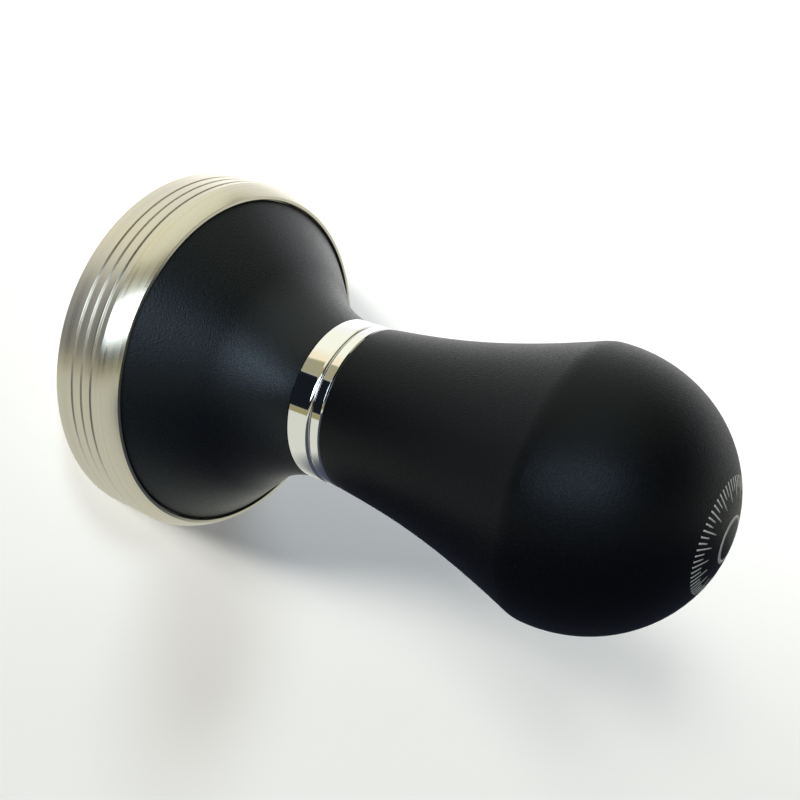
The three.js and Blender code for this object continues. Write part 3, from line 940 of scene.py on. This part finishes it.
def window(ground):
    """The window of the photograph's room, upright on its table. It lights all but the floor."""
    data = bpy.data.lights.new("window", "AREA")
    data.shape = "RECTANGLE"
    data.size, data.size_y = WINDOW_SIZE
    data.energy = WINDOW_POWER
    data.color = WINDOW_COLOUR
    holder = linked("window", data)
    side = TABLE_UP.cross(TABLE_FRONT)
    level = TABLE_FRONT * math.cos(WINDOW_AZIMUTH) + side * math.sin(WINDOW_AZIMUTH)
    away = level * math.cos(WINDOW_ELEVATION) + TABLE_UP * math.sin(WINDOW_ELEVATION)
    width = TABLE_UP.cross(away).normalized()
    turn = Matrix((width, away.cross(width), away)).transposed()
    holder.matrix_world = Matrix.Translation(away * WINDOW_DISTANCE) @ turn.to_4x4()
    holder.visible_camera = False
    unlit = bpy.data.collections.new("window_unlit")
    unlit.objects.link(ground)
    unlit.collection_objects[0].light_linking.link_state = "EXCLUDE"
    holder.light_linking.receiver_collection = unlit


def along(tree, vector, direction):
    """How far a vector points along a fixed direction, from -1 to 1."""
    node = tree.nodes.new("ShaderNodeVectorMath")
    node.operation = "DOT_PRODUCT"
    tree.links.new(vector, node.inputs[0])
    node.inputs[1].default_value = direction
    return node.outputs["Value"]


def room_colour(tree):
    """The room by direction: white table and backdrop, warm wall overhead, dark camera side."""
    direction = tree.nodes.new("ShaderNodeTexCoord").outputs["Generated"]
    up = along(tree, direction, TABLE_UP)
    front = along(tree, direction, TABLE_FRONT)
    side = along(tree, direction, TABLE_UP.cross(TABLE_FRONT))
    azimuth = math_node(tree, "MULTIPLY", math_node(tree, "ARCTAN2", side, front), math.degrees(1))
    elevation = math_node(tree, "MULTIPLY", math_node(tree, "ARCSINE", up), math.degrees(1))

    above_table = step_up(tree, elevation, *ROOM_TABLE_STEP)
    colour = mix_colour(tree, above_table, ROOM_TABLE_BELOW, ROOM_TABLE_AROUND)
    colour = mix_colour(tree, step_up(tree, elevation, *ROOM_BACKDROP_STEP), colour, ROOM_BACKDROP)
    behind = step_up(tree, math_node(tree, "MULTIPLY", front, -1), *ROOM_BEHIND_STEP)
    low = between(tree, elevation, *ROOM_BEHIND_BAND)
    colour = mix_colour(tree, math_node(tree, "MULTIPLY", behind, low), colour, ROOM_BEHIND)
    colour = mix_colour(tree, step_up(tree, elevation, *ROOM_CEILING_STEP), colour, ROOM_CEILING)
    wall_side = between(tree, azimuth, *ROOM_WALL_BAND)
    overhead = step_up(tree, elevation, *ROOM_WALL_STEP)
    colour = mix_colour(tree, math_node(tree, "MULTIPLY", wall_side, overhead), colour, ROOM_WALL)

    lean = math_node(tree, "MULTIPLY", elevation, ROOM_DARK_LEAN)
    dark_end = step_up(tree, math_node(tree, "SUBTRACT", azimuth, lean), *ROOM_DARK_END)
    dark_start = step_up(tree, azimuth, *ROOM_DARK_START)
    camera_side = math_node(tree, "SUBTRACT", dark_start, dark_end)
    for low, high, shade in ROOM_LAYERS:
        layer = between(tree, elevation, low, high, ROOM_LAYER_EDGE)
        colour = mix_colour(tree, math_node(tree, "MULTIPLY", camera_side, layer), colour, shade)
    return colour


def world():
    """Even pale light for everything; glossy rays meet the room instead."""
    scene = bpy.context.scene
    scene.world = bpy.data.worlds.new("studio")
    scene.world.use_nodes = True
    tree = scene.world.node_tree
    plain = tree.nodes["Background"]
    plain.inputs["Color"].default_value = (*WORLD_COLOUR, 1)
    light_path = tree.nodes.new("ShaderNodeLightPath")
    lift = math_node(tree, "MULTIPLY", light_path.outputs["Is Camera Ray"], 1 - WORLD_LEVEL)
    tree.links.new(math_node(tree, "ADD", lift, WORLD_LEVEL), plain.inputs["Strength"])
    room = tree.nodes.new("ShaderNodeBackground")
    tree.links.new(room_colour(tree), room.inputs["Color"])
    join = tree.nodes.new("ShaderNodeMixShader")
    tree.links.new(light_path.outputs["Is Glossy Ray"], join.inputs[0])
    tree.links.new(plain.outputs[0], join.inputs[1])
    tree.links.new(room.outputs[0], join.inputs[2])
    tree.links.new(join.outputs[0], tree.nodes["World Output"].inputs["Surface"])


# The tamper

piston = revolve("piston", piston_outline())
place(piston, "piston_base", turned_steel())
skirt = revolve("skirt", skirt_outline())
skirt_black = black_anodised("skirt_black", SKIRT_ROUGHNESS, SKIRT_SPECULAR)
place(skirt, "flare_skirt", skirt_black)
collar = revolve("collar", collar_outline())
place(collar, "collar_ring", polished_chrome())
grip = revolve("grip", grip_outline())
grip_black = black_anodised("grip_black", GRIP_ROUGHNESS, GRIP_SPECULAR)
place(grip, "handle_grip", grip_black)

mark = etched_mark()
mark.data.materials.append(etched_silver())
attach(mark, body_of_node("handle_grip"))

dress("friction_ring", black_rubber())
zinc = plated_steel("zinc_steel", ZINC_DARK, ZINC_LIGHT, ZINC_ROUGHNESS)
for node in ("tie_stud", "clamp_nut", "plain_washer"):
    dress(node, zinc)
dress("spring_washer", plated_steel("spring_steel", SPRING_DARK, SPRING_LIGHT, SPRING_ROUGHNESS))

# Its surroundings

camera()
ground = floor()
floor_lamps(ground)
table_card()
world()
window(ground)

bpy.context.scene.view_settings.view_transform = "Standard"
